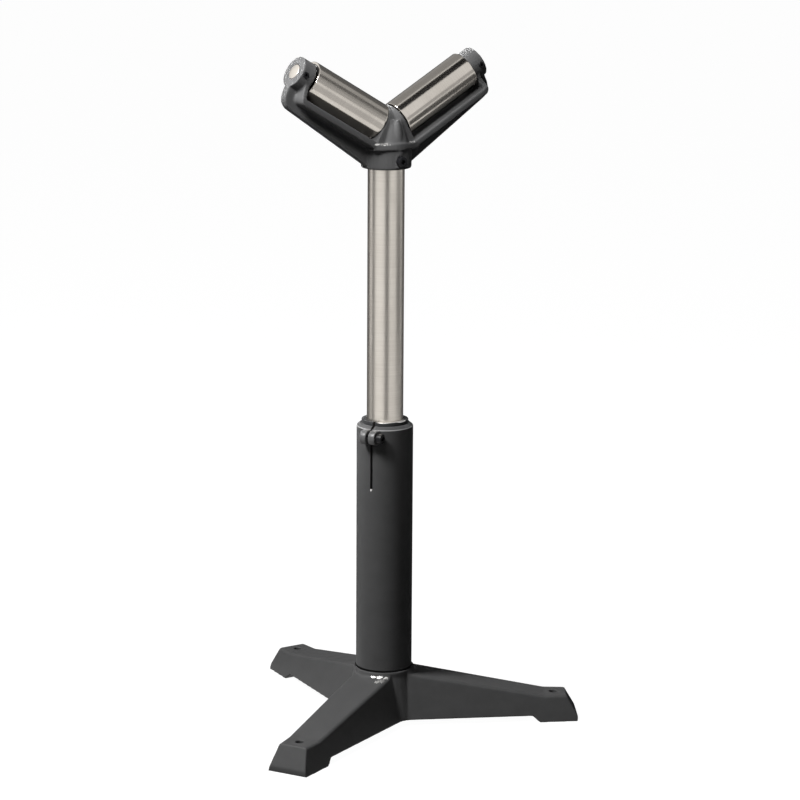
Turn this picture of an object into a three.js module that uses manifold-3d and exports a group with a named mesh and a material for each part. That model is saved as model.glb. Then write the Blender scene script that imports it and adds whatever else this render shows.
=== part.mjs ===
// Height-adjustable V-roller stand: a cast tripod carries a steel column with a pinch clamp,
// a sliding mast stands in its split bush, and a cast yoke holds two ball-bearing rollers in a V.
// Millimetres, +Z up. The origin lies on the floor in the middle of the footprint.

import * as THREE from 'three';
import { mergeVertices } from 'three/addons/utils/BufferGeometryUtils.js';
import Module from 'manifold-3d';

const wasm = await Module();
wasm.setup();

// Driving dimensions

const FIT = 0.2; // gap between pieces that are pressed or welded together
const SLIDE = 0.3; // gap between pieces that slide or turn on each other

const MAST = {
  diameter: 48.3,
  wall: 4,
  showing: 334, // from the top of the bush to the yoke's lower rim, as modelled
  engaged: 60, // length that is held inside the bush, as modelled
};

const BUSH = {
  wall: 6.5,
  length: 100,
  rise: 5, // stands proud of the column
  chamfer: 1.2,
};

const COLUMN = {
  wall: 6.35,
  top: 409.5, // height above the floor
  shoulderWidth: 4.8, // sloping shoulder at the top
  shoulderHeight: 4,
};

const CLAMP = {
  angle: THREE.MathUtils.degToRad(210), // the slit lies over the front left leg
  slitWidth: 3.5,
  slitDepth: 84.5,
  lugWall: 5.2, // metal around the screw hole
  lugThickness: 9.5,
  lugDrop: 13, // lug centre below the column's top
};

const LEGS = {
  angles: [90, 210, 330].map(THREE.MathUtils.degToRad),
  reach: 262, // column axis to the end of a foot on the floor
  footLength: 52, // length that stands on the floor
  footHeight: 34,
  footTopLength: 29.5, // flat top around the bolt hole
  footEndDraft: 15.5,
  toeHeight: 7, // upright stretch at the end of a foot
  heel: 10, // length of the slope from the floor up to the leg's underside
  clearance: 8.5, // leg's underside above the floor
  hubHeight: 66.5, // top of a leg where it meets the hub
  halfWidth: 49.4, // half width of a leg's floor outline, carried in to the column axis
  taper: 0.08, // half width lost per length
  draft: 0.29, // half width lost per height
  edge: 3, // flat along the rounded top edges
  crotchRadius: 24,
  shell: 8, // wall of the hollow underside
  boltHole: 11,
  boltInset: 32, // bolt hole from the end of the foot
};

const HUB = {
  collarWall: 3,
  collarRise: 7.5, // above the top of the legs
  fillet: 7, // collar onto the legs
  shoulderDrop: 1, // foot of the fillet below the top of the legs
  wallBottom: 17, // hub wall at the underside
  seatFloor: 6, // lip that the column stands on
  lipWidth: 6,
  chamfer: 1.6, // at the mouth of the column's seat
  edge: 1,
};

const AXLE = {
  diameter: 20,
  chamfer: 0.6,
};

const BEARING = {
  section: 11, // from bore to outside
  width: 12,
  ball: 6,
  balls: 7,
  groove: 1, // depth of the balls' groove in a ring
  cageThickness: 2,
  cageWidth: 3.4,
  inset: 2, // behind the roller's end
};

const ROLLER = {
  length: 119,
  wall: 3.6, // outside the bearing seat
  shoulder: 1.2, // step that the bearing stands against
  chamfer: 1,
};

const YOKE = {
  tilt: THREE.MathUtils.degToRad(30), // roller axes above the horizontal
  socketWall: 8.55,
  socketDepth: 24.5,
  socketRound: 2.5,
  neck: 26, // lower rim to the flange's flat underside
  flange: 8.5,
  flangeFlat: 25.3, // half length of the flat stretch of the flange
  flangeOverhang: 2, // flange beyond the roller, front and back
  rollerClearance: 2.5, // between roller and flange
  endClearance: 1.4, // between roller ends and the yoke
  crest: 3.1, // half thickness of the post at the top of the rollers
  postMargin: 0.5, // post inside the roller's radius
  ear: 6.4,
  bossWall: 11.2, // boss around the axle
  bossRise: 13.4, // boss and rib outside the ear
  waist: 9, // narrowest place of the ear, below the axle
  rib: 12,
  ribDepth: 10.7, // below the flange at the outer end
  ribRound: 20, // lower outer corner, along the arm
  ribBend: 24, // lower outer corner, up the ear
  ribFoot: 4.5, // end of the rib above the lower rim
  ridgeRadius: 10,
  ridgeProud: 1.8, // ridge in front of the socket
  ridgeTop: 30, // above the flange's flat
  spotface: 1.2, // seat of the screw's head
  axleEnd: 8, // inner end of the axle from the middle of the V
};

const CAP_SCREW = {
  diameter: 8,
  headDiameter: 13,
  headHeight: 8,
  headEdge: 0.7,
  hexAcross: 6,
  hexDepth: 4,
};

const SOCKET_SCREW = { ...CAP_SCREW, height: 11.5 }; // above the yoke's lower rim

const LOCK_SCREW = { diameter: 8, hexAcross: 4, hexDepth: 3, proud: 0.8, inset: 6 }; // from the boss's end

const FINE = 36; // facets around tubes and rollers
const MEDIUM = 24; // facets around axles and bearings
const SMALL = 16; // facets around screws
const BOSS = 32; // facets around bosses
const COARSE = 6; // facets in a small round
const HEXAGON = 6; // sides of a key socket
const BALL = { around: 6, upwards: 4 }; // facets of a bearing ball
const OVERCUT = 1; // how far a cutter reaches past the face it opens

// Derived dimensions

const mastRadius = MAST.diameter / 2;
const bushBore = mastRadius + SLIDE;
const bushRadius = bushBore + BUSH.wall;
const columnBore = bushRadius + FIT;
const columnRadius = columnBore + COLUMN.wall;
const columnFoot = LEGS.clearance + HUB.seatFloor + FIT;
const bushTop = COLUMN.top + BUSH.rise;
const rimHeight = bushTop + MAST.showing;
const mastBottom = bushTop - MAST.engaged;
const mastTop = rimHeight + YOKE.socketDepth - SLIDE;

const lugRadius = CAP_SCREW.diameter / 2 + SLIDE + CLAMP.lugWall;
const lugHeight = COLUMN.top - CLAMP.lugDrop;
const lugOuter = CLAMP.slitWidth / 2 + CLAMP.lugThickness;
const headSide = Math.sqrt(columnRadius ** 2 - lugOuter ** 2) + SLIDE; // column's side of the screw's head
const lugCentre = headSide + CAP_SCREW.headDiameter / 2;

const seatRadius = columnRadius + FIT;
const collarRadius = seatRadius + HUB.collarWall;
const collarTop = LEGS.hubHeight + HUB.collarRise;
const footTopStart = LEGS.reach - LEGS.footEndDraft - LEGS.footTopLength;
const footStart = LEGS.reach - LEGS.footLength;
const legTopSlope = (LEGS.hubHeight - LEGS.footHeight) / (footTopStart - collarRadius);

const axleRadius = AXLE.diameter / 2;
const bearingBore = axleRadius + FIT;
const bearingRadius = bearingBore + BEARING.section;
const pitchRadius = (bearingBore + bearingRadius) / 2;
const ballRadius = BEARING.ball / 2;
const rollerSeat = bearingRadius + FIT;
const rollerRadius = rollerSeat + ROLLER.wall;
const sine = Math.sin(YOKE.tilt);
const cosine = Math.cos(YOKE.tilt);
const postFace = (rollerRadius * sine + YOKE.crest) / cosine;
const rollerStart = postFace + YOKE.endClearance;
const rollerEnd = rollerStart + ROLLER.length;
const earInner = rollerEnd + YOKE.endClearance;
const earOuter = earInner + YOKE.ear;
const bossOuter = earOuter + YOKE.bossRise;
const bossRadius = axleRadius + YOKE.bossWall;
const socketRadius = mastRadius + SLIDE + YOKE.socketWall;
const flatTop = YOKE.neck + YOKE.flange;
const flangeTop = -(rollerRadius + YOKE.rollerClearance);
const flangeBottom = flangeTop - YOKE.flange;
const flangeHalf = rollerRadius + YOKE.flangeOverhang;
const apex = flatTop - (flangeTop + YOKE.flangeFlat * sine) / cosine;
const lockPlace = bossOuter - LOCK_SCREW.inset;
const screwSeat = socketRadius + YOKE.ridgeProud - YOKE.spotface;

// Centre of the footprint, measured from the column axis along the rear leg
const footHalfWidth = LEGS.halfWidth - LEGS.taper * LEGS.reach;
const frontReach = LEGS.reach * Math.cos(Math.PI / 3) + footHalfWidth * Math.sin(Math.PI / 3);
const footprintCentre = (LEGS.reach - frontReach) / 2;

// Materials

const paint = new THREE.MeshStandardMaterial({ color: 0x3c3d3e, roughness: 0.55, metalness: 0.1 });
const castPaint = new THREE.MeshStandardMaterial({ color: 0x434446, roughness: 0.6, metalness: 0.1 });
const turnedSteel = new THREE.MeshStandardMaterial({ color: 0xb9b2a8, roughness: 0.32, metalness: 1 });
const polishedSteel = new THREE.MeshStandardMaterial({ color: 0xa79e94, roughness: 0.2, metalness: 1 });
const bearingSteel = new THREE.MeshStandardMaterial({ color: 0xc8c8c6, roughness: 0.25, metalness: 1 });
const blackOxide = new THREE.MeshStandardMaterial({ color: 0x161616, roughness: 0.4, metalness: 0.6 });

// Solids: closed shapes that can be joined and cut

/** Closed solid of a geometry, with shared corners merged and faces of no area left out. */
function solidOf(geometry) {
  geometry.deleteAttribute('normal');
  geometry.deleteAttribute('uv');
  const merged = mergeVertices(geometry);
  const corners = merged.index.array;
  const kept = [];
  for (let i = 0; i < corners.length; i += 3) {
    const [a, b, c] = corners.slice(i, i + 3);
    if (a !== b && b !== c && c !== a) kept.push(a, b, c);
  }
  const vertProperties = merged.attributes.position.array;
  return new wasm.Manifold(new wasm.Mesh({ numProp: 3, vertProperties, triVerts: Uint32Array.from(kept) }));
}

/** Geometry of a solid. */
function geometryOf(solid) {
  const { vertProperties, triVerts } = solid.getMesh();
  const geometry = new THREE.BufferGeometry();
  geometry.setAttribute('position', new THREE.BufferAttribute(vertProperties, 3));
  geometry.setIndex(new THREE.BufferAttribute(triVerts, 1));
  return geometry;
}

/** The same solid in another place. */
function placed(solid, matrix) {
  return solidOf(geometryOf(solid).applyMatrix4(matrix));
}

function moved(solid, x, y, z) {
  return placed(solid, new THREE.Matrix4().makeTranslation(x, y, z));
}

function join(...solids) {
  return solids.reduce((whole, solid) => whole.add(solid));
}

function cut(solid, ...cutters) {
  return cutters.reduce((rest, cutter) => rest.subtract(cutter), solid);
}

/** Body turned about Z from a closed outline of [radius, height] points, counter-clockwise. */
function turned(outline, facets) {
  const points = [...outline, outline[0]].map(([radius, height]) => new THREE.Vector2(radius, height));
  return solidOf(new THREE.LatheGeometry(points, facets).rotateX(Math.PI / 2));
}

/** Round bar along Z between two heights. */
function bar(radius, bottom, top, facets = SMALL) {
  return turned([[0, bottom], [radius, bottom], [radius, top], [0, top]], facets);
}

/** Plate of an upright outline drawn in X and Z, standing evenly on both sides of the XZ plane. */
function uprightPlate(shape, thickness) {
  const geometry = new THREE.ExtrudeGeometry(shape, { depth: thickness, bevelEnabled: false });
  return solidOf(geometry.translate(0, 0, -thickness / 2).rotateX(Math.PI / 2));
}

/** Plate of an outline drawn in Y and Z, between two places along X. */
function crossPlate(shape, from, to) {
  const geometry = new THREE.ExtrudeGeometry(shape, { depth: to - from, bevelEnabled: false });
  geometry.rotateX(Math.PI / 2).rotateZ(Math.PI / 2).translate(from, 0, 0);
  return solidOf(geometry);
}

/** Block that fills the outer side of a plane, to cut everything beyond it. */
function beyond(plane, size) {
  const turn = new THREE.Quaternion().setFromUnitVectors(new THREE.Vector3(0, 0, 1), plane.normal);
  const centre = plane.coplanarPoint(new THREE.Vector3()).addScaledVector(plane.normal, size / 2);
  const matrix = new THREE.Matrix4().compose(centre, turn, new THREE.Vector3(1, 1, 1));
  return solidOf(new THREE.BoxGeometry(size, size, size).applyMatrix4(matrix));
}

/** Plane that takes off the edge between two planes, leaving a flat of the given width. */
function edgePlane(first, second, width) {
  const sum = first.normal.clone().add(second.normal);
  const closeness = first.normal.dot(second.normal);
  const depth = (width / 2) * Math.sqrt((1 - closeness) / (1 + closeness));
  const constant = (first.constant + second.constant) / sum.length() + depth;
  return new THREE.Plane(sum.normalize(), constant);
}

/** Points on a circular arc. */
function arc(centreX, centreY, radius, start, end, steps = COARSE) {
  return Array.from({ length: steps + 1 }, (_, step) => {
    const angle = start + ((end - start) * step) / steps;
    return [centreX + radius * Math.cos(angle), centreY + radius * Math.sin(angle)];
  });
}

function outlineOf(points) {
  return new THREE.Shape(points.map(([x, y]) => new THREE.Vector2(x, y)));
}

function meshOf(name, solid, material) {
  const mesh = new THREE.Mesh(geometryOf(solid), material);
  mesh.name = name;
  return mesh;
}

// Turns of a body that is drawn along Z
const alongX = new THREE.Matrix4().makeRotationY(Math.PI / 2);
const alongY = new THREE.Matrix4().makeRotationX(-Math.PI / 2);
const againstY = new THREE.Matrix4().makeRotationX(Math.PI / 2);

// Tripod base: three tapering hollow legs round a hub with a seat for the column

const legSweep = Math.atan(LEGS.taper);
const legTurns = LEGS.angles.map((angle) => new THREE.Matrix4().makeRotationZ(angle));
const blockSize = 3 * LEGS.reach;

/** Outer plane of a leg's drafted side wall; side is 1 on the left of the leg and -1 on the right. */
function legWall(side, inset) {
  const normal = new THREE.Vector3(Math.sin(legSweep), side * Math.cos(legSweep), LEGS.draft);
  const distance = LEGS.halfWidth * Math.cos(legSweep) - inset;
  const scale = normal.length();
  return new THREE.Plane(normal.divideScalar(scale), -distance / scale);
}

/** Prism of a side view along +X between the drafted walls, with the edges of its top face softened. */
function legPart(profile, inset, topFace) {
  let solid = uprightPlate(outlineOf(profile), blockSize);
  for (const side of [-1, 1]) {
    const wall = legWall(side, inset);
    solid = cut(solid, beyond(wall, blockSize));
    if (topFace) solid = cut(solid, beyond(edgePlane(wall, topFace, LEGS.edge), blockSize));
  }
  return solid;
}

/** Side view of a leg's beam from the column axis to its foot, lowered where it tops the crotches. */
function beamProfile(lowered) {
  return [
    [0, LEGS.clearance],
    [footStart - LEGS.heel, LEGS.clearance],
    [footStart, 0],
    [footTopStart, 0],
    [footTopStart, LEGS.footHeight - lowered],
    [collarRadius, LEGS.hubHeight - lowered],
    [0, LEGS.hubHeight - lowered],
  ];
}

function solidLeg() {
  const slope = new THREE.Vector3(legTopSlope, 0, 1).normalize();
  const ridge = new THREE.Vector3(footTopStart, 0, LEGS.footHeight);
  const slopingTop = new THREE.Plane().setFromNormalAndCoplanarPoint(slope, ridge);
  const flatTopFace = new THREE.Plane(new THREE.Vector3(0, 0, 1), -LEGS.footHeight);
  const foot = [
    [footStart, 0],
    [LEGS.reach, 0],
    [LEGS.reach, LEGS.toeHeight],
    [LEGS.reach - LEGS.footEndDraft, LEGS.footHeight],
    [footStart, LEGS.footHeight],
  ];
  return join(legPart(beamProfile(0), 0, slopingTop), legPart(foot, 0, flatTopFace));
}

/** Space under a leg, from the hub to the foot. */
function legHollow() {
  const end = footStart - LEGS.heel - LEGS.shell;
  const roofAtEnd = LEGS.footHeight + legTopSlope * (footTopStart - end) - LEGS.shell;
  const roofAtHub = LEGS.hubHeight - LEGS.shell;
  const profile = [[0, 0], [end, 0], [end, roofAtEnd], [collarRadius, roofAtHub], [0, roofAtHub]];
  return legPart(profile, LEGS.shell);
}

/** Filler in the corner between two legs' drafted walls, with a round outer face. */
function crotchFillet() {
  const radius = LEGS.crotchRadius;
  const halfStep = Math.PI / LEGS.angles.length;
  const opening = Math.sin(halfStep + legSweep);
  const corner = (LEGS.halfWidth * Math.cos(legSweep)) / opening; // on the floor, from the column axis
  const lean = LEGS.draft / opening; // how far the corner runs inwards per height
  const facing = opening * Math.sqrt((1 + lean ** 2) / (1 + LEGS.draft ** 2));
  const spread = Math.acos(facing); // between a wall's normal and the way out of the corner
  const face = arc(radius / facing, 0, radius, Math.PI + spread, Math.PI - spread);
  const depth = 2 * LEGS.hubHeight;
  const shape = outlineOf([[-radius, 0], ...face]);
  const filler = new THREE.ExtrudeGeometry(shape, { depth, bevelEnabled: false });
  filler.translate(0, 0, -depth / 4).rotateY(-Math.atan(lean)).translate(corner, 0, 0).rotateZ(halfStep);
  return solidOf(filler);
}

/** Fillets of all crotches, ending just below the legs' top edges. */
function crotchWeb() {
  const cap = uprightPlate(outlineOf(beamProfile(LEGS.edge)), blockSize);
  const caps = legTurns.map((turn) => placed(cap, turn));
  const fillets = legTurns.map((turn) => placed(crotchFillet(), turn));
  return join(...fillets).intersect(join(...caps));
}

/** Hub with a raised collar. */
function hubSolid() {
  return turned([
    [0, LEGS.clearance],
    [seatRadius + HUB.wallBottom, LEGS.clearance],
    [collarRadius, LEGS.hubHeight],
    [collarRadius, collarTop - HUB.edge],
    [collarRadius - HUB.edge, collarTop],
    [0, collarTop],
  ], FINE);
}

/** Round between the collar and the top of a leg. */
function collarFillet() {
  const shoulder = LEGS.hubHeight - HUB.shoulderDrop;
  const radius = Math.min(HUB.fillet, collarTop - HUB.edge - shoulder);
  const outer = collarRadius + radius;
  const bottom = LEGS.hubHeight - LEGS.shell / 2;
  const round = arc(outer, shoulder + radius, radius, 1.5 * Math.PI, Math.PI, COARSE / 2);
  const top = shoulder + radius;
  const ring = turned([[seatRadius, bottom], [outer, bottom], ...round, [seatRadius, top]], FINE);
  const leg = legPart([[0, bottom], [2 * outer, bottom], [2 * outer, collarTop], [0, collarTop]], 0);
  return ring.intersect(leg);
}

/** Space for the column: a bore with a lip at the bottom and a chamfered mouth. */
function columnSeat() {
  const bottom = LEGS.clearance + HUB.seatFloor;
  const mouth = collarTop + HUB.chamfer;
  return turned([
    [0, 0],
    [seatRadius - HUB.lipWidth, 0],
    [seatRadius - HUB.lipWidth, bottom],
    [seatRadius, bottom],
    [seatRadius, collarTop - HUB.chamfer],
    [seatRadius + 2 * HUB.chamfer, mouth],
    [0, mouth],
  ], FINE);
}

function tripodBase() {
  const legs = legTurns.map((turn) => placed(solidLeg(), turn));
  const hollows = legTurns.map((turn) => placed(legHollow(), turn));
  const hole = bar(LEGS.boltHole / 2, -OVERCUT, LEGS.footHeight + OVERCUT);
  const outwards = new THREE.Matrix4().makeTranslation(LEGS.reach - LEGS.boltInset, 0, 0);
  const holes = legTurns.map((turn) => placed(hole, turn.clone().multiply(outwards)));
  const shell = cut(join(...legs, crotchWeb()), ...hollows);
  const fillets = legTurns.map((turn) => placed(collarFillet(), turn));
  return cut(join(shell, hubSolid(), ...fillets), columnSeat(), ...holes);
}

// Column: a thick tube with a pinch clamp at its slit upper end

/** Slit with a round lower end, from the axis out through the wall on the clamp's side. */
function slit(bottom) {
  const half = CLAMP.slitWidth / 2;
  const top = bushTop + half;
  const end = arc(0, bottom + half, half, Math.PI, 2 * Math.PI);
  const shape = outlineOf([[half, top], [-half, top], ...end]);
  return placed(crossPlate(shape, 0, 2 * columnRadius), new THREE.Matrix4().makeRotationZ(CLAMP.angle));
}

function columnTube() {
  const tube = turned([
    [columnBore, columnFoot],
    [columnRadius, columnFoot],
    [columnRadius, COLUMN.top - COLUMN.shoulderHeight],
    [columnRadius - COLUMN.shoulderWidth, COLUMN.top],
    [columnBore, COLUMN.top],
  ], FINE);
  return cut(tube, slit(COLUMN.top - CLAMP.slitDepth));
}

/** Guide bush, split along its whole length. */
function guideBush() {
  const bottom = bushTop - BUSH.length;
  const bush = turned([
    [bushBore, bottom],
    [bushRadius, bottom],
    [bushRadius, bushTop - BUSH.chamfer],
    [bushRadius - BUSH.chamfer, bushTop],
    [bushBore, bushTop],
  ], FINE);
  return cut(bush, slit(bottom - CLAMP.slitWidth));
}

/** Clamp lug in the clamp's frame: X points out of the column, Y across the slit to the screw's head. */
function clampLug(side) {
  const end = arc(lugCentre, 0, lugRadius, -Math.PI / 2, Math.PI / 2, 2 * COARSE);
  const plate = uprightPlate(outlineOf([[0, lugRadius], [0, -lugRadius], ...end]), CLAMP.lugThickness);
  const middle = side * (CLAMP.slitWidth + CLAMP.lugThickness) / 2;
  const hole = placed(bar(CAP_SCREW.diameter / 2 + SLIDE, -2 * lugOuter, 2 * lugOuter), alongY);
  const column = bar(columnRadius + SLIDE, -2 * lugRadius, 2 * lugRadius, FINE);
  return cut(moved(plate, 0, middle, 0), column, moved(hole, lugCentre, 0, 0));
}

/** Cap screw along Z: the head's underside is at zero and the shank points down. */
function capScrew(screw, length) {
  const head = screw.headDiameter / 2;
  const shank = screw.diameter / 2;
  const body = turned([
    [0, -length],
    [shank, -length],
    [shank, 0],
    [head, 0],
    [head, screw.headHeight - screw.headEdge],
    [head - screw.headEdge, screw.headHeight],
    [0, screw.headHeight],
  ], SMALL);
  return cut(body, hexSocket(screw, screw.headHeight));
}

/** Six-sided key socket, from the top of a screw downwards. */
function hexSocket(screw, top) {
  const radius = screw.hexAcross / Math.sqrt(3);
  return bar(radius, top - screw.hexDepth, top + OVERCUT, HEXAGON);
}

// Mast

function mastTube() {
  const bore = mastRadius - MAST.wall;
  return turned([
    [bore, mastBottom],
    [mastRadius, mastBottom],
    [mastRadius, mastTop],
    [bore, mastTop],
  ], FINE);
}

// Yoke: drawn from its lower rim, with the V in the XZ plane
// An arm's own frame has X along its roller's axis from the middle of the V, and Z up from the axis.

/** Frame of the left (-1) or right (1) arm. */
function armMatrix(side) {
  const matrix = new THREE.Matrix4().makeTranslation(0, 0, apex);
  if (side < 0) matrix.multiply(new THREE.Matrix4().makeRotationZ(Math.PI));
  return matrix.multiply(new THREE.Matrix4().makeRotationY(-YOKE.tilt));
}

/** Point of the yoke's side view on the right arm, from its place along the axis and above it. */
function armPoint(along, above) {
  return [along * cosine - above * sine, apex + along * sine + above * cosine];
}

function mirrored(points) {
  return points.map(([x, z]) => [-x, z]).reverse();
}

/** Plate under both rollers, level in the middle and rounded up into the ears. */
function yokeFlange() {
  const lowerFlat = (YOKE.neck - apex - flangeBottom * cosine) / sine;
  const corner = arc(earOuter - YOKE.flange, flangeTop, YOKE.flange, -Math.PI / 2, 0);
  const right = [
    armPoint(lowerFlat, flangeBottom),
    ...corner.map(([along, above]) => armPoint(along, above)),
    [YOKE.flangeFlat, flatTop],
  ];
  return uprightPlate(outlineOf([...right, ...mirrored(right)]), 2 * flangeHalf);
}

/** Central rib, from the socket along the flange and up the outside of the ears. */
function yokeRib() {
  const outerBottom = flangeBottom - YOKE.ribDepth;
  const corner = new THREE.Vector2(bossOuter, outerBottom);
  const bend = new THREE.QuadraticBezierCurve(
    new THREE.Vector2(bossOuter - YOKE.ribRound, outerBottom),
    corner,
    new THREE.Vector2(bossOuter, outerBottom + YOKE.ribBend),
  );
  const middle = flangeBottom + YOKE.flange / 2;
  const right = [
    [socketRadius, YOKE.ribFoot],
    ...bend.getPoints(COARSE).map(({ x, y }) => armPoint(x, y)),
    armPoint(bossOuter, 0),
    armPoint(earInner + YOKE.ear / 2, 0),
    armPoint(earInner + YOKE.ear / 2, middle),
    armPoint(earInner, middle),
    [YOKE.flangeFlat, flatTop - YOKE.flange / 2],
  ];
  return uprightPlate(outlineOf([...right, ...mirrored(right)]), YOKE.rib);
}

/** Ear at the end of an arm, with the boss that holds the axle. */
function yokeEar() {
  const foot = flangeTop - FIT;
  const narrow = Math.sqrt(bossRadius ** 2 - YOKE.waist ** 2);
  const flare = new THREE.QuadraticBezierCurve(
    new THREE.Vector2(flangeHalf, flangeTop),
    new THREE.Vector2(narrow, (flangeTop - YOKE.waist) / 2),
    new THREE.Vector2(narrow, -YOKE.waist),
  );
  const side = flare.getPoints(COARSE).map(({ x, y }) => [x, y]);
  const outline = outlineOf([[flangeHalf, foot], ...side, ...mirrored(side), [-flangeHalf, foot]]);
  const boss = placed(bar(bossRadius, earInner, bossOuter, BOSS), alongX);
  return join(crossPlate(outline, earInner, earOuter), boss);
}

/** Half of the post between the rollers, round over the axis and straight below it. */
function yokePost() {
  const radius = rollerRadius - YOKE.postMargin;
  const crown = arc(0, 0, radius, 0, Math.PI, 3 * COARSE);
  const outline = outlineOf([...crown, [-radius, flangeBottom], [radius, flangeBottom]]);
  return crossPlate(outline, -apex, postFace);
}

/** Socket for the mast, with a rounded lower rim. */
function yokeSocket() {
  const round = YOKE.socketRound;
  const rim = arc(socketRadius - round, round, round, -Math.PI / 2, 0, COARSE / 2);
  const top = flatTop - YOKE.flange / 2;
  return turned([[0, 0], ...rim, [socketRadius, top], [0, top]], FINE);
}

/** Upright ridge at the front of the socket, running back into the post above the flange. */
function yokeRidge() {
  const radius = YOKE.ridgeRadius;
  const rise = YOKE.flange + YOKE.ridgeTop;
  const quarter = arc(0, 0, 1, 0, Math.PI / 2);
  const ramp = quarter.map(([across, up]) => [radius * across, YOKE.neck + rise * up]);
  const ridge = turned([[0, YOKE.socketRound], [radius, YOKE.socketRound], ...ramp], SMALL);
  const front = -(socketRadius + YOKE.ridgeProud - radius);
  return moved(ridge, 0, front, 0);
}

/** Hole and seat for the screw that holds the yoke on the mast. */
function socketScrewHole() {
  const hole = bar(SOCKET_SCREW.diameter / 2 + FIT, 0, screwSeat + OVERCUT);
  const seat = bar(SOCKET_SCREW.headDiameter / 2 + YOKE.spotface / 2, screwSeat, 2 * screwSeat);
  return moved(placed(join(hole, seat), againstY), 0, 0, SOCKET_SCREW.height);
}

/** Set screw or its hole in an arm's frame, between two distances in front of the axle's middle. */
function acrossAxle(solid, side) {
  return moved(placed(solid, side < 0 ? alongY : againstY), lockPlace, 0, 0);
}

function headYoke() {
  const middle = new THREE.Plane(new THREE.Vector3(-1, 0, 0), 0);
  const half = cut(placed(yokePost(), armMatrix(1)), beyond(middle, blockSize));
  const otherHalf = placed(half, new THREE.Matrix4().makeRotationZ(Math.PI));
  const ears = [-1, 1].map((side) => placed(yokeEar(), armMatrix(side)));
  const casting = join(yokeSocket(), yokeFlange(), yokeRib(), half, otherHalf, yokeRidge(), ...ears);
  const bore = bar(mastRadius + SLIDE, -OVERCUT, YOKE.socketDepth, FINE);
  const axleBore = bar(axleRadius + FIT, YOKE.axleEnd - FIT, bossOuter + OVERCUT, MEDIUM);
  const axleHole = placed(axleBore, alongX);
  const lockHole = bar(LOCK_SCREW.diameter / 2 + FIT, 0, bossRadius + OVERCUT);
  const holes = [-1, 1].flatMap((side) => [
    placed(axleHole, armMatrix(side)),
    placed(acrossAxle(lockHole, side), armMatrix(side)),
  ]);
  return cut(casting, bore, socketScrewHole(), ...holes);
}

function socketScrew() {
  const screw = capScrew(SOCKET_SCREW, screwSeat + FIT - mastRadius - SLIDE);
  return moved(placed(screw, againstY), 0, -(screwSeat + FIT), SOCKET_SCREW.height);
}

function lockScrew(side) {
  const top = bossRadius + LOCK_SCREW.proud;
  const screw = cut(bar(LOCK_SCREW.diameter / 2, axleRadius + SLIDE, top), hexSocket(LOCK_SCREW, top));
  return acrossAxle(screw, side);
}

// Rollers on ball bearings, drawn along their own axis

function axle() {
  const { chamfer } = AXLE;
  return turned([
    [0, YOKE.axleEnd],
    [axleRadius - chamfer, YOKE.axleEnd],
    [axleRadius, YOKE.axleEnd + chamfer],
    [axleRadius, bossOuter - chamfer],
    [axleRadius - chamfer, bossOuter],
    [0, bossOuter],
  ], MEDIUM);
}

function rollerShell() {
  const end = ROLLER.length / 2;
  const step = end - BEARING.inset - BEARING.width - FIT;
  const inner = rollerSeat - ROLLER.shoulder;
  const { chamfer } = ROLLER;
  const shell = turned([
    [rollerSeat, -end],
    [rollerRadius - chamfer, -end],
    [rollerRadius, chamfer - end],
    [rollerRadius, end - chamfer],
    [rollerRadius - chamfer, end],
    [rollerSeat, end],
    [rollerSeat, step],
    [inner, step],
    [inner, -step],
    [rollerSeat, -step],
  ], FINE);
  return moved(shell, 0, 0, rollerStart + end);
}

/** Round groove in which the balls run, from its lower to its upper edge on the inner ring. */
function ballGroove(facing) {
  const radius = ballRadius + SLIDE;
  const reach = Math.acos((radius - BEARING.groove) / radius);
  return arc(pitchRadius, 0, radius, facing + reach, facing - reach, COARSE / 2);
}

function innerRing() {
  const half = BEARING.width / 2;
  const groove = ballGroove(Math.PI);
  const land = groove[0][0];
  return turned([
    [bearingBore, -half],
    [land, -half],
    ...groove,
    [land, half],
    [bearingBore, half],
  ], MEDIUM);
}

function outerRing() {
  const half = BEARING.width / 2;
  const groove = ballGroove(0);
  const land = groove[0][0];
  return turned([
    [bearingRadius, -half],
    [bearingRadius, half],
    [land, half],
    ...groove,
    [land, -half],
  ], MEDIUM);
}

/** Cage with its balls. */
function ballCage() {
  const inner = pitchRadius - BEARING.cageThickness / 2;
  const outer = pitchRadius + BEARING.cageThickness / 2;
  const half = BEARING.cageWidth / 2;
  const ring = turned([[inner, -half], [outer, -half], [outer, half], [inner, half]], MEDIUM);
  const balls = Array.from({ length: BEARING.balls }, (_, place) => {
    const angle = (2 * Math.PI * place) / BEARING.balls;
    const ball = solidOf(new THREE.SphereGeometry(ballRadius, BALL.around, BALL.upwards));
    return moved(ball, pitchRadius * Math.cos(angle), pitchRadius * Math.sin(angle), 0);
  });
  return join(ring, ...balls);
}

// Assembly

/** Clamp lugs and their screw, in the clamp's frame. */
function clampGroup() {
  const screw = placed(capScrew(CAP_SCREW, 2 * lugOuter), alongY);
  const group = new THREE.Group();
  group.position.z = lugHeight;
  group.rotation.z = CLAMP.angle;
  return group.add(
    meshOf('clamp_lug_left', clampLug(-1), paint),
    meshOf('clamp_lug_right', clampLug(1), paint),
    meshOf('clamp_screw', moved(screw, lugCentre, lugOuter + SLIDE, 0), blackOxide),
  );
}

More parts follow.
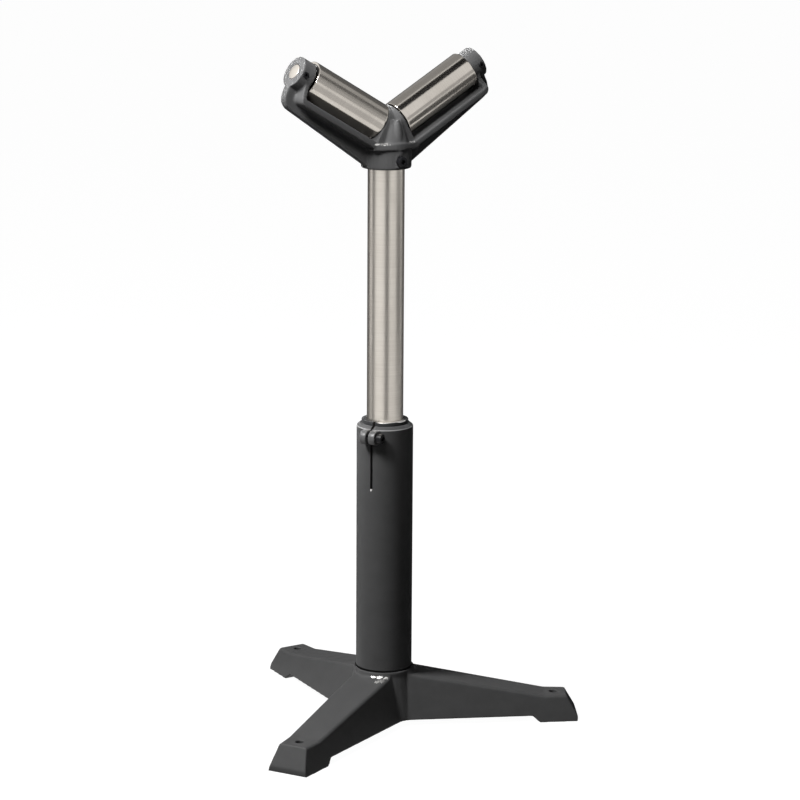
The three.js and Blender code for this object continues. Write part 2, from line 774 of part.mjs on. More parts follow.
/** Axle, roller and bearings of one arm, in the arm's frame. */
function armGroup(side, label) {
  const group = new THREE.Group();
  group.add(
    meshOf(`axle_${label}`, placed(axle(), alongX), turnedSteel),
    meshOf(`axle_screw_${label}`, lockScrew(side), blackOxide),
    meshOf(`roller_${label}`, placed(rollerShell(), alongX), polishedSteel),
  );
  const margin = BEARING.inset + BEARING.width / 2;
  const places = { lower: rollerStart + margin, upper: rollerEnd - margin };
  const pieces = { inner_ring: innerRing(), outer_ring: outerRing(), ball_cage: ballCage() };
  for (const [end, place] of Object.entries(places)) {
    for (const [piece, solid] of Object.entries(pieces)) {
      const name = `bearing_${piece}_${label}_${end}`;
      group.add(meshOf(name, moved(placed(solid, alongX), place, 0, 0), bearingSteel));
    }
  }
  group.applyMatrix4(armMatrix(side));
  return group;
}

function headGroup() {
  const group = new THREE.Group();
  group.position.z = rimHeight;
  return group.add(
    meshOf('head_yoke', headYoke(), castPaint),
    meshOf('socket_screw', socketScrew(), blackOxide),
    armGroup(-1, 'left'),
    armGroup(1, 'right'),
  );
}

const stand = new THREE.Group();
stand.position.y = -footprintCentre;
stand.add(
  meshOf('tripod_base', tripodBase(), castPaint),
  meshOf('column_tube', columnTube(), paint),
  meshOf('guide_bush', guideBush(), paint),
  clampGroup(),
  meshOf('mast_tube', mastTube(), turnedSteel),
  headGroup(),
);

export default stand;
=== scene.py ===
"""Looks of a height-adjustable V-roller stand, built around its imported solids.

Lengths are metres, +Z is up, and the floor lies at zero.
"""

import logging
import math
from dataclasses import dataclass, replace
from enum import Enum
from typing import Any, Iterable, Sequence

import bmesh
import bpy
from mathutils import Matrix, Vector


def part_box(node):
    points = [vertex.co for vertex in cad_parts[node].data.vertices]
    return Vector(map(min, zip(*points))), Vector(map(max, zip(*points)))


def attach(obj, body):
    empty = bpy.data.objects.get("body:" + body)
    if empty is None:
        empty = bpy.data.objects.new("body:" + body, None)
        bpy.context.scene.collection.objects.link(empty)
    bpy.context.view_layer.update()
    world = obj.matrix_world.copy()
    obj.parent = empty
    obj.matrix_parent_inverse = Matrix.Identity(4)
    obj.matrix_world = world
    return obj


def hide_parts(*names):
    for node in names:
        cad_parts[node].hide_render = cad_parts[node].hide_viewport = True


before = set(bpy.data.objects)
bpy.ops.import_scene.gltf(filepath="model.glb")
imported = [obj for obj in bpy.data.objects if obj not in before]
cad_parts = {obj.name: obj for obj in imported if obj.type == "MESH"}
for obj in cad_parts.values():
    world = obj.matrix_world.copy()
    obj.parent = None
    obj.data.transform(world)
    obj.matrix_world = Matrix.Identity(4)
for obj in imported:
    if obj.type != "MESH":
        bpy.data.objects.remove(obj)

LOG = logging.getLogger("roller_stand")
MM = 0.001
MERGE = 1e-6
SHARP = math.radians(32)
SMOOTHING = 0.5
ARC_STEP = math.radians(10)
FRONT = Vector((0.0, -1.0, 0.0))
HOLD = 2.0 * MM  # from an edge to the loop that keeps a long face straight
FIT = 0.2 * MM  # gap of pieces that are pressed or welded together
RUNNING = 0.3 * MM  # gap of pieces that move on each other
OVER = 6.0 * MM  # how far cutters reach beyond the face that they cut

Outline = Sequence[tuple[float, float]]
Colour = tuple[float, float, float]
Point = tuple[float, float, float]
Piece = bpy.types.Object
Material = bpy.types.Material
Socket = bpy.types.NodeSocket
Tree = bpy.types.NodeTree


class Body(Enum):
    """Rigid bodies that pieces ride on."""

    BASE = "base"
    CLAMP_SCREW = "clamp_screw"
    MAST = "mast"
    HEAD = "head"
    LEFT_ROLLER = "left_roller"
    RIGHT_ROLLER = "right_roller"


class Slot(Enum):
    """Material slots of the record."""

    CAST_PAINT = "cast_paint"
    TUBE_PAINT = "tube_paint"
    TURNED_STEEL = "turned_steel"
    POLISHED_STEEL = "polished_steel"
    BLACK_OXIDE = "black_oxide"


class Facets(Enum):
    """Number of sides of a round piece."""

    LARGE = 144
    MEDIUM = 96
    SMALL = 48
    HEXAGON = 6


class Side(Enum):
    """Arms of the V, by their direction along X."""

    LEFT = -1
    RIGHT = 1

    @property
    def label(self) -> str:
        """Word for this side in names."""
        return self.name.lower()


# Solids under construction


def along(origin: Vector, direction: Vector) -> Matrix:
    """Give the frame at a point whose Z axis runs along a direction."""
    return Matrix.Translation(origin) @ direction.to_track_quat("Z", "Y").to_matrix().to_4x4()


def held(outline: Outline) -> list[tuple[float, float]]:
    """Add points near the ends of long lines, which keep the reflections between them straight.

    Args:
        outline: Closed outline of a turned piece.

    Returns:
        The outline with the added points.
    """
    points = []
    for start, end in zip(outline, [*outline[1:], outline[0]]):
        points.append(start)
        length = math.dist(start, end)
        if length > 4 * HOLD:
            for share in (HOLD / length, 1.0 - HOLD / length):
                points.append(tuple(near + share * (far - near) for near, far in zip(start, end)))
    return points


class Shape:
    """A closed solid under construction."""

    def __init__(self) -> None:
        """Start with nothing."""
        self.mesh = bmesh.new()

    @classmethod
    def turned(cls, outline: Outline, facets: Facets) -> "Shape":
        """Turn an outline about Z.

        Args:
            outline: Points of radius and height; open if it starts and ends on the axis.
            facets: Number of sides.

        Returns:
            The turned solid.
        """
        shape = cls()
        mesh = shape.mesh
        corners = [mesh.verts.new((radius, 0.0, height)) for radius, height in outline]
        closed = outline[0][0] > 0.0 and outline[-1][0] > 0.0
        following = corners[1:] + corners[:1] if closed else corners[1:]
        edges = [mesh.edges.new(pair) for pair in zip(corners, following)]
        bmesh.ops.spin(
            mesh,
            geom=corners + edges,
            cent=(0.0, 0.0, 0.0),
            axis=(0.0, 0.0, 1.0),
            angle=math.tau,
            steps=facets.value,
            use_merge=True,
        )
        return shape.mended()

    @classmethod
    def bar(cls, radius: float, start: float, end: float, facets: Facets = Facets.SMALL) -> "Shape":
        """Turn a plain round bar along Z.

        Args:
            radius: Radius of the bar.
            start: Lower end.
            end: Upper end.
            facets: Number of sides.

        Returns:
            The bar.
        """
        return cls.turned([(0.0, start), (radius, start), (radius, end), (0.0, end)], facets)

    @classmethod
    def bore(cls, radius: float, start: float, face: float, edge: float, facets: Facets) -> "Shape":
        """Turn the cutter of a hole along Z with a chamfered mouth.

        Args:
            radius: Radius of the hole.
            start: Lower end.
            face: Height of the face around the mouth.
            edge: Width of the chamfer.
            facets: Number of sides.

        Returns:
            The cutter.
        """
        wide, top = radius + edge + OVER, face + OVER
        outline = [(0.0, start), (radius, start), (radius, face - edge), (wide, top), (0.0, top)]
        return cls.turned(outline, facets)

    @classmethod
    def slot(cls, radius: float, reach: float, thickness: float, facets: Facets) -> "Shape":
        """Draw a disc out along +X into a plate with round ends, standing on the XY plane.

        Args:
            radius: Radius of the ends.
            reach: Distance between the ends' centres.
            thickness: Height of the plate.
            facets: Number of sides of the disc.

        Returns:
            The plate.
        """
        shape = cls()
        mesh = shape.mesh
        disc = bmesh.ops.create_circle(mesh, cap_ends=True, segments=facets.value, radius=radius)
        far = [vert for vert in disc["verts"] if vert.co.x > MERGE]
        bmesh.ops.translate(mesh, vec=(reach, 0.0, 0.0), verts=far)
        grown = bmesh.ops.extrude_face_region(mesh, geom=mesh.faces[:])
        top = [item for item in grown["geom"] if isinstance(item, bmesh.types.BMVert)]
        bmesh.ops.translate(mesh, vec=(0.0, 0.0, thickness), verts=top)
        return shape.mended()

    @classmethod
    def hull(cls, corners: Iterable[Point]) -> "Shape":
        """Wrap the smallest solid without hollows around corners.

        Args:
            corners: Points to wrap.

        Returns:
            The solid.
        """
        shape = cls()
        verts = [shape.mesh.verts.new(corner) for corner in corners]
        bmesh.ops.convex_hull(shape.mesh, input=verts)
        return shape.mended()

    @classmethod
    def copied(cls, node: str) -> "Shape":
        """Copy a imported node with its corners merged.

        Args:
            node: Name of the node.

        Returns:
            The copy.
        """
        shape = cls()
        shape.mesh.from_mesh(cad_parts[node].data)
        bmesh.ops.remove_doubles(shape.mesh, verts=shape.mesh.verts[:], dist=MERGE)
        return shape

    def mended(self) -> "Shape":
        """Merge doubled corners and turn the faces outwards."""
        bmesh.ops.remove_doubles(self.mesh, verts=self.mesh.verts[:], dist=MERGE)
        bmesh.ops.recalc_face_normals(self.mesh, faces=self.mesh.faces[:])
        return self

    def rounded(self, width: float, segments: int = 3) -> "Shape":
        """Round every sharp edge.

        Args:
            width: Width taken off each face.
            segments: Steps in the round.

        Returns:
            This shape.
        """
        edges = [edge for edge in self.mesh.edges if edge.is_manifold]
        edges = [edge for edge in edges if edge.calc_face_angle() > SHARP]
        bmesh.ops.bevel(
            self.mesh,
            geom=edges,
            offset=width,
            offset_type="OFFSET",
            segments=segments,
            profile=0.5,
            affect="EDGES",
            clamp_overlap=True,
            material=-1,
        )
        return self

    def placed(self, matrix: Matrix) -> "Shape":
        """Move the shape to its place."""
        bmesh.ops.transform(self.mesh, matrix=matrix, verts=self.mesh.verts[:])
        return self

    def joined(self, others: Iterable["Shape"]) -> "Shape":
        """Put other shapes into the same mesh.

        Args:
            others: Shapes that are used up.

        Returns:
            This shape.
        """
        for other in others:
            data = other.data("joined")
            self.mesh.from_mesh(data)
            bpy.data.meshes.remove(data)
        return self

    def data(self, name: str) -> bpy.types.Mesh:
        """Turn the shape into mesh data and let go of it.

        Args:
            name: Name of the data.

        Returns:
            The mesh data.
        """
        data = bpy.data.meshes.new(name)
        self.mesh.to_mesh(data)
        self.mesh.free()
        return data

    def piece(self, name: str) -> Piece:
        """Put the shape into the scene as an object.

        Args:
            name: Name of the object.

        Returns:
            The object.
        """
        piece = bpy.data.objects.new(name, self.data(name))
        bpy.context.scene.collection.objects.link(piece)
        return piece


def settled(piece: Piece) -> None:
    """Make a piece's modifiers part of its mesh.

    Args:
        piece: Object with modifiers.
    """
    graph = bpy.context.evaluated_depsgraph_get()
    graph.update()
    finished = bpy.data.meshes.new_from_object(piece.evaluated_get(graph))
    rough = piece.data
    piece.modifiers.clear()
    piece.data = finished
    bpy.data.meshes.remove(rough)


def carved(piece: Piece, cutters: Iterable[Shape]) -> None:
    """Cut shapes out of a piece.

    Args:
        piece: Object that is cut.
        cutters: Shapes that are used up.
    """
    helpers = [cutter.piece("cutter") for cutter in cutters]
    for helper in helpers:
        modifier = piece.modifiers.new("cut", "BOOLEAN")
        modifier.operation = "DIFFERENCE"
        modifier.solver = "MANIFOLD"
        modifier.object = helper
    settled(piece)
    for helper in helpers:
        data = helper.data
        bpy.data.objects.remove(helper)
        bpy.data.meshes.remove(data)


def softened(piece: Piece, voxel: float, passes: int, share: float = 1.0) -> None:
    """Give a piece the round edges and fillets of a casting.

    Args:
        piece: Object made of closed, overlapping shells.
        voxel: Size of the new mesh's faces.
        passes: How often the new mesh is smoothed.
        share: Share of the new mesh's faces that is kept.
    """
    skin = piece.modifiers.new("skin", "REMESH")
    skin.mode = "VOXEL"
    skin.voxel_size = voxel
    round_off = piece.modifiers.new("round", "SMOOTH")
    round_off.factor = SMOOTHING
    round_off.iterations = passes
    if share < 1.0:
        thin = piece.modifiers.new("thin", "DECIMATE")
        thin.ratio = share
    settled(piece)


def fitted(piece: Piece, material: Material, body: Body, nodes: Sequence[str]) -> None:
    """Shade, dress and attach a finished piece.

    Args:
        piece: The finished piece.
        material: Its material.
        body: Body that it rides on.
        nodes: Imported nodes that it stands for.
    """
    piece.data.shade_smooth()
    piece.data.set_sharp_from_angle(angle=SHARP)
    piece.data.materials.clear()
    piece.data.materials.append(material)
    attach(piece, body.value)
    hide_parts(*nodes)
    LOG.info("%s: %d faces on %s", piece.name, len(piece.data.polygons), body.value)


# Shader nodes


class Board:
    """A node tree that is being filled."""

    def __init__(self, tree: Tree) -> None:
        """Take a tree.

        Args:
            tree: Tree that gets the nodes.
        """
        self.tree = tree

    def add(
        self, kind: str, inputs: dict[str | int, Any] | None = None, **settings: Any
    ) -> bpy.types.Node:
        """Place a node.

        Args:
            kind: Type of the node.
            inputs: Values or sockets, by the input's name or number.
            settings: Properties of the node.

        Returns:
            The new node.
        """
        node = self.tree.nodes.new(kind)
        for key, value in settings.items():
            setattr(node, key, value)
        for key, value in (inputs or {}).items():
            if isinstance(value, Socket):
                self.tree.links.new(value, node.inputs[key])
            else:
                node.inputs[key].default_value = value
        return node

    def math(self, operation: str, *values: Any) -> Socket:
        """Place a math node and give its result."""
        return self.add("ShaderNodeMath", dict(enumerate(values)), operation=operation).outputs[0]

    def spread(self, value: Any, low: float, high: float, to: tuple[float, float]) -> Socket:
        """Stretch a value from one range to another.

        Args:
            value: Socket with the value.
            low: Start of its range.
            high: End of its range.
            to: Range of the result.

        Returns:
            Socket with the result.
        """
        inputs = {"Value": value, "From Min": low, "From Max": high}
        inputs.update({"To Min": to[0], "To Max": to[1]})
        return self.add("ShaderNodeMapRange", inputs, clamp=True).outputs["Result"]

    def blend(self, factor: Any, first: Any, second: Any) -> Socket:
        """Mix two colours.

        Args:
            factor: Share of the second colour.
            first: Colour or socket.
            second: Colour or socket.

        Returns:
            Socket with the mixed colour.
        """
        first = (*first, 1.0) if isinstance(first, tuple) else first
        second = (*second, 1.0) if isinstance(second, tuple) else second
        # Only their numbers tell the colour sockets of this node from its others.
        node = self.add("ShaderNodeMix", {0: factor, 6: first, 7: second}, data_type="RGBA")
        return node.outputs[2]

    def noise(self, vector: Any, scale: Any, detail: float) -> Socket:
        """Place a noise texture.

        Args:
            vector: Coordinates.
            scale: Features per metre.
            detail: Octaves.

        Returns:
            Socket with a value around one half.
        """
        inputs = {"Vector": vector, "Scale": scale, "Detail": detail}
        return self.add("ShaderNodeTexNoise", inputs).outputs["Fac"]

    def bump(self, height: Any, distance: float) -> Socket:
        """Turn a height into a normal."""
        inputs = {"Height": height, "Strength": 1.0, "Distance": distance}
        return self.add("ShaderNodeBump", inputs).outputs["Normal"]

    def group(self, tree: Tree, **inputs: Any) -> Any:
        """Place a node group and give its outputs."""
        return self.add("ShaderNodeGroup", inputs, node_tree=tree).outputs

    def vector(self, operation: str, *values: Any) -> Any:
        """Place a vector math node and give its outputs."""
        inputs = dict(enumerate(values))
        return self.add("ShaderNodeVectorMath", inputs, operation=operation).outputs


class Surface(Board):
    """The nodes of a new material."""

    def __init__(self, name: str) -> None:
        """Start the material.

        Args:
            name: Name of the material.
        """
        self.material = bpy.data.materials.new(name)
        self.material.use_nodes = True
        super().__init__(self.material.node_tree)
        self.tree.nodes.clear()
        self.place = self.add("ShaderNodeTexCoord").outputs["Object"]

    def closed(self, shader: bpy.types.Node) -> Material:
        """Connect the last shader and give the material."""
        self.add("ShaderNodeOutputMaterial", {"Surface": shader.outputs[0]})
        return self.material


class Group(Board):
    """The nodes of a new node group."""

    def __init__(self, name: str, vectors: Sequence[str], values: Sequence[str]) -> None:
        """Start the group.

        Args:
            name: Name of the group.
            vectors: Names of its vector inputs.
            values: Names of its value inputs.
        """
        super().__init__(bpy.data.node_groups.new(name, "ShaderNodeTree"))
        for kind, labels in (("NodeSocketVector", vectors), ("NodeSocketFloat", values)):
            for label in labels:
                self.tree.interface.new_socket(label, in_out="INPUT", socket_type=kind)
        self.source = self.add("NodeGroupInput").outputs

    def closed(self, **results: Socket) -> Tree:
        """Connect the results to outputs of their names.

        Args:
            results: Sockets by the output's name.

        Returns:
            The group.
        """
        for label in results:
            self.tree.interface.new_socket(label, in_out="OUTPUT", socket_type="NodeSocketFloat")
        self.add("NodeGroupOutput", results)
        return self.tree


class Effects:
    """Shader node groups that several finishes share."""

    PATCH_HEIGHT = 0.6
    PATCH_RANGE = (0.3, 0.7)
    WEAR_SHEEN_RANGE = (0.35, 0.6)
    WEAR_SHEEN_SHARE = (0.25, 1.0)
    RING_SCALE = (0.02, 0.02, 1.0)
    RING_SHARE = 0.5
    TONE_RANGE = (0.35, 0.65)
    SPOT_FLECKS = 2.4
    SPOT_RIM = (1.7, 2.0)

    def __init__(self) -> None:
        """Build every group once."""
        self.cast_skin = self._cast_skin()
        self.edge_wear_and_sheen = self._edge_wear_and_sheen()
        self.turning_marks = self._turning_marks()
        self.bare_spot = self._bare_spot()

    @staticmethod
    def _cast_skin() -> Tree:
        """Grain and cloudy patches of paint on a rough skin.

        Returns:
            The group.
        """
        board = Group("cast_skin", ["Vector"], ["Grain", "Patches"])
        source = board.source
        grain = board.noise(source["Vector"], source["Grain"], detail=3.0)
        patch = board.noise(source["Vector"], source["Patches"], detail=5.0)
        height = board.math("MULTIPLY_ADD", patch, Effects.PATCH_HEIGHT, grain)
        patch = board.spread(patch, *Effects.PATCH_RANGE, (0.0, 1.0))
        return board.closed(Height=height, Patch=patch)

    @staticmethod
    def _edge_wear_and_sheen() -> Tree:
        """Lighter colour along outer edges, broken up by noise: worn paint and a painted edge
        highlight.

        Returns:
            The group.
        """
        board = Group("edge_wear_and_sheen", ["Vector"], ["Flecks", "Start", "Full"])
        source = board.source
        edge = board.add("ShaderNodeNewGeometry").outputs["Pointiness"]
        ranges = {"Value": edge, "From Min": source["Start"], "From Max": source["Full"]}
        raised = board.add("ShaderNodeMapRange", ranges, clamp=True).outputs["Result"]
        flecks = board.noise(source["Vector"], source["Flecks"], detail=4.0)
        flecks = board.spread(flecks, *Effects.WEAR_SHEEN_RANGE, Effects.WEAR_SHEEN_SHARE)
        return board.closed(Wear=board.math("MULTIPLY", raised, flecks))

    @staticmethod
    def _turning_marks() -> Tree:
        """Fine rings round the Z axis of the given coordinates, and cloudy tone.

        Returns:
            The group.
        """
        board = Group("turning_marks", ["Vector"], ["Rings", "Clouds"])
        source = board.source
        flat = board.vector("MULTIPLY", source["Vector"], Effects.RING_SCALE)[0]
        rings = board.noise(flat, source["Rings"], detail=4.0)
        clouds = board.noise(source["Vector"], source["Clouds"], detail=3.0)
        cloudy = board.math("MULTIPLY", clouds, 1.0 - Effects.RING_SHARE)
        tone = board.math("MULTIPLY_ADD", rings, Effects.RING_SHARE, cloudy)
        tone = board.spread(tone, *Effects.TONE_RANGE, (0.0, 1.0))
        return board.closed(Height=rings, Tone=tone)

    @staticmethod
    def _bare_spot() -> Tree:
        """Ragged spot around a point where the paint is off.

        Returns:
            The group.
        """
        board = Group("bare_spot", ["Vector", "Centre", "Stretch"], ["Radius", "Flecks"])
        source = board.source
        offset = board.vector("SUBTRACT", source["Vector"], source["Centre"])[0]
        away = board.vector("LENGTH", board.vector("DIVIDE", offset, source["Stretch"])[0])["Value"]
        share = board.math("DIVIDE", away, source["Radius"])
        flecks = board.noise(source["Vector"], source["Flecks"], detail=4.0)
        ragged = board.math("MULTIPLY_ADD", flecks, Effects.SPOT_FLECKS, share)
        return board.closed(Bare=board.spread(ragged, *Effects.SPOT_RIM, (1.0, 0.0)))


# Finishes


@dataclass(frozen=True)
class BareSpot:
    """A place where the paint is off, squashed to a share of its height."""

    centre: Point
    radius: float
    height_share: float = 1.0
    flecks: float = 400.0


@dataclass(frozen=True)
class PaintedLightBand:
    """A level line of painted shade or painted highlight round a piece."""

    level: float
    half_width: float
    colour: Colour
    fade: float = 0.4 * MM

    def mask(self, board: Surface) -> Socket:
        """Show where the line lies.

        Args:
            board: Nodes of the material.

        Returns:
            Socket with the mask.
        """
        height = board.add("ShaderNodeSeparateXYZ", {0: board.place}).outputs["Z"]
        away = board.math("ABSOLUTE", board.math("SUBTRACT", height, self.level))
        return board.spread(away, self.half_width, self.half_width + self.fade, (1.0, 0.0))


@dataclass(frozen=True)
class Paint:
    """Satin paint on metal."""

    name: str
    colour: Colour
    shade: Colour
    roughness: tuple[float, float]
    grain: float
    patches: float
    worn_and_sheen: Colour = (0.14, 0.14, 0.14)
    relief: float = 0.04 * MM
    wear: tuple[float, float] = (0.56, 0.68)
    flecks_per_patch: float = 6.0
    specular: float = 0.08
    painted_light_bands: tuple[PaintedLightBand, ...] = ()
    bare: tuple[BareSpot, ...] = ()
    bare_colour: Colour = (0.75, 0.74, 0.72)

    def material(self, effects: Effects) -> Material:
        """Build the paint's nodes.

        Args:
            effects: Shared node groups.

        Returns:
            The material.
        """
        board = Surface(self.name)
        place = board.place
        skin = board.group(effects.cast_skin, Vector=place, Grain=self.grain, Patches=self.patches)
        flecks = self.flecks_per_patch * self.patches
        start, full = self.wear
        wear = board.group(effects.edge_wear_and_sheen, Vector=place, Flecks=flecks, Start=start, Full=full)
        colour = board.blend(skin["Patch"], self.shade, self.colour)
        # Outer edges take a lighter colour: worn paint and a painted edge highlight.
        colour = board.blend(wear["Wear"], colour, self.worn_and_sheen)
        # Painted shade and painted highlight lines round the piece.
        for light_band in self.painted_light_bands:
            colour = board.blend(light_band.mask(board), colour, light_band.colour)
        inputs = {
            "Roughness": board.spread(skin["Patch"], 0.0, 1.0, self.roughness),
            "Normal": board.bump(skin["Height"], self.relief),
            "Specular IOR Level": self.specular,
        }
        bare = self._bare(board, effects)
        if bare is not None:
            colour = board.blend(bare, colour, self.bare_colour)
            inputs["Metallic"] = bare
        return board.closed(board.add("ShaderNodeBsdfPrincipled", {"Base Color": colour, **inputs}))

    def _bare(self, board: Surface, effects: Effects) -> Socket | None:
        """Mask where metal shows.

        Args:
            board: Nodes of the material.
            effects: Shared node groups.

        Returns:
            Socket with the mask, or nothing where the paint is whole.
        """
        mask = None
        for spot in self.bare:
            bare = board.group(
                effects.bare_spot,
                Vector=board.place,
                Centre=spot.centre,
                Stretch=(1.0, 1.0, spot.height_share),
                Radius=spot.radius,
                Flecks=spot.flecks,
            )["Bare"]
            mask = bare if mask is None else board.math("MAXIMUM", mask, bare)
        return mask


@dataclass(frozen=True)
class Steel:
    """Bare steel with rings from turning."""

    name: str
    colour: Colour
    shade: Colour
    roughness: tuple[float, float]
    rings: float
    clouds: float
    relief: float
    turn: tuple[float, float, float] = (0.0, 0.0, 0.0)
    metallic: float = 1.0
    specular: float = 0.5

    def material(self, effects: Effects) -> Material:
        """Build the steel's nodes.

        Args:
            effects: Shared node groups.

        Returns:
            The material.
        """
        board = Surface(self.name)
        mapping = board.add("ShaderNodeMapping", {"Vector": board.place, "Rotation": self.turn})
        around = mapping.outputs["Vector"]
        marks = board.group(
            effects.turning_marks, Vector=around, Rings=self.rings, Clouds=self.clouds
        )
        tone = marks["Tone"]
        shader = board.add(
            "ShaderNodeBsdfPrincipled",
            {
                "Base Color": board.blend(tone, self.shade, self.colour),
                "Roughness": board.spread(tone, 0.0, 1.0, self.roughness),
                "Normal": board.bump(marks["Height"], self.relief),
                "Metallic": self.metallic,
                "Specular IOR Level": self.specular,
            },
        )
        return board.closed(shader)


CAST_PAINT = Paint(
    name="cast_paint",
    colour=(0.083, 0.083, 0.0835),
    shade=(0.074, 0.074, 0.0745),
    roughness=(0.36, 0.48),
    grain=900.0,
    patches=60.0,
    wear=(0.54, 0.64),
    bare=(
        BareSpot((-0.0325, -0.0795, 0.0683), 4.2 * MM, 0.4),
        BareSpot((-0.0269, -0.0857, 0.0681), 5.6 * MM, 0.4),
        BareSpot((-0.0205, -0.0905, 0.0674), 4.8 * MM, 0.4),
        BareSpot((-0.0345, -0.0915, 0.0655), 5.0 * MM),
        BareSpot((-0.0285, -0.0938, 0.0655), 6.0 * MM),
    ),
)
YOKE_PAINT = replace(
    CAST_PAINT,
    name="yoke_paint",
    colour=(0.075, 0.075, 0.0755),
    shade=(0.066, 0.066, 0.0665),
    bare=(
        BareSpot((-0.019, -0.081, 0.7825), 9.0 * MM, 0.2, 200.0),
        BareSpot((-0.03, -0.077, 0.7835), 7.0 * MM, 0.25, 200.0),
        BareSpot((0.024, -0.077, 0.7825), 8.0 * MM, 0.25, 200.0),
    ),
)
TUBE_PAINT = Paint(
    name="tube_paint",
    colour=(0.079, 0.079, 0.0795),
    shade=(0.071, 0.071, 0.0715),
    roughness=(0.4, 0.5),
    grain=700.0,
    patches=45.0,
    relief=0.05 * MM,
    # Painted shade: a near-black line where the column's foot meets the collar. Painted highlight:
    # a light line along the lower edge of the top shoulder.
    painted_light_bands=(PaintedLightBand(0.0745, 1.3 * MM, (0.002, 0.002, 0.002)), PaintedLightBand(0.4055, 0.4 * MM, (0.3, 0.3, 0.3))),
    bare=(BareSpot((-0.0325, -0.0719, 0.3248), 2.4 * MM),),
)
# The jaws' light edge colour paints highlights on their rounded edges as well as wear.
JAW_PAINT = replace(
    TUBE_PAINT,
    name="jaw_paint",
    worn_and_sheen=(0.4, 0.4, 0.4),
    roughness=(0.28, 0.36),
    wear=(0.52, 0.6),
    specular=0.3,
    painted_light_bands=(),
    bare=(),
)
BUSH_PAINT = Paint(
    name="bush_paint",
    colour=(0.05, 0.051, 0.052),
    shade=(0.04, 0.041, 0.042),
    worn_and_sheen=(0.25, 0.25, 0.25),
    roughness=(0.36, 0.5),
    grain=800.0,
    patches=80.0,
    bare=(
        BareSpot((-0.0165, -0.0755, 0.4145), 10.0 * MM, 0.07, 60.0),
        BareSpot((-0.0081, -0.0797, 0.4145), 16.0 * MM, 0.07, 60.0),
        BareSpot((0.0062, -0.0802, 0.4145), 16.0 * MM, 0.07, 60.0),
    ),
)
TURNED_STEEL = Steel(
    name="turned_steel",
    colour=(0.7, 0.657, 0.595),
    shade=(0.6, 0.557, 0.5),
    roughness=(0.38, 0.28),
    rings=1100.0,
    clouds=26.0,
    relief=0.02 * MM,
)
BLACK_OXIDE = Steel(
    name="black_oxide",
    colour=(0.008, 0.008, 0.009),
    shade=(0.005, 0.005, 0.006),
    roughness=(0.42, 0.3),
    rings=3000.0,
    clouds=300.0,
    relief=0.01 * MM,
    metallic=0.0,
    specular=0.15,
)
ROLLER_STEEL = Steel(
    name="roller_steel",
    colour=(0.6, 0.56, 0.51),
    shade=(0.5, 0.465, 0.42),
    roughness=(0.2, 0.13),
    rings=4200.0,
    clouds=30.0,
    relief=0.008 * MM,
)
BEARING_STEEL = Steel(
    name="bearing_steel",
    colour=(0.62, 0.62, 0.61),
    shade=(0.5, 0.5, 0.49),
    roughness=(0.3, 0.2),
    rings=4000.0,
    clouds=120.0,
    relief=0.01 * MM,
)


# Sub-assemblies


@dataclass
class Assembly:
    """Pieces that stand round one upright axis."""

    axis: Vector
    effects: Effects
    oxide: Material

    def raised(self, height: float = 0.0) -> Matrix:
        """Give the frame on the axis at a height."""
        return Matrix.Translation(self.axis + Vector((0.0, 0.0, height)))


@dataclass
class TripodBase(Assembly):
    """Cast foot with three legs and a seat for the column."""

    leg_angles: tuple[float, ...] = (math.radians(90), math.radians(210), math.radians(330))
    bolt_reach: float = 230.0 * MM
    bolt_radius: float = 5.5 * MM
    bolt_edge: float = 0.8 * MM
    foot_height: float = 34.0 * MM
    seat_radius: float = 37.7 * MM
    seat_plug: float = 39.46 * MM
    seat_floor: float = 14.5 * MM
    collar_top: float = 74.0 * MM
    mouth: float = 1.6 * MM
    voxel: float = 1.1 * MM
    passes: int = 7
    share: float = 0.35

    def bolt_place(self, angle: float) -> Matrix:
        """Give the frame of a leg's bolt hole on the floor."""
        out = Vector((math.cos(angle), math.sin(angle), 0.0)) * self.bolt_reach
        return Matrix.Translation(self.axis + out)

    def plugs(self) -> list[Shape]:
        """Fill the machined holes while the casting is softened.

        Returns:
            The plugs.
        """
        seat = Shape.bar(self.seat_plug, self.seat_floor, self.collar_top, Facets.MEDIUM)
        filled = [seat.placed(self.raised())]
        for angle in self.leg_angles:
            plug = Shape.bar(self.bolt_radius + RUNNING, 0.0, self.foot_height)
            filled.append(plug.placed(self.bolt_place(angle)))
        return filled

    def holes(self) -> list[Shape]:
        """Cutters of the column's seat and the bolt holes.

        Returns:
            The cutters.
        """
        seat = Shape.bore(
            self.seat_radius, self.seat_floor, self.collar_top, self.mouth, Facets.LARGE
        )
        cutters = [seat.placed(self.raised())]
        for angle in self.leg_angles:
            bolt = Shape.bore(
                self.bolt_radius, -OVER, self.foot_height, self.bolt_edge, Facets.SMALL
            )
            cutters.append(bolt.placed(self.bolt_place(angle)))
        return cutters

    def build(self) -> None:
        """Make and dress the casting."""
        piece = Shape.copied("tripod_base").joined(self.plugs()).piece("cast_tripod")
        softened(piece, self.voxel, self.passes, self.share)
        carved(piece, self.holes())
        paint = CAST_PAINT.material(self.effects)
        fitted(piece, paint, Body.BASE, ["tripod_base"])


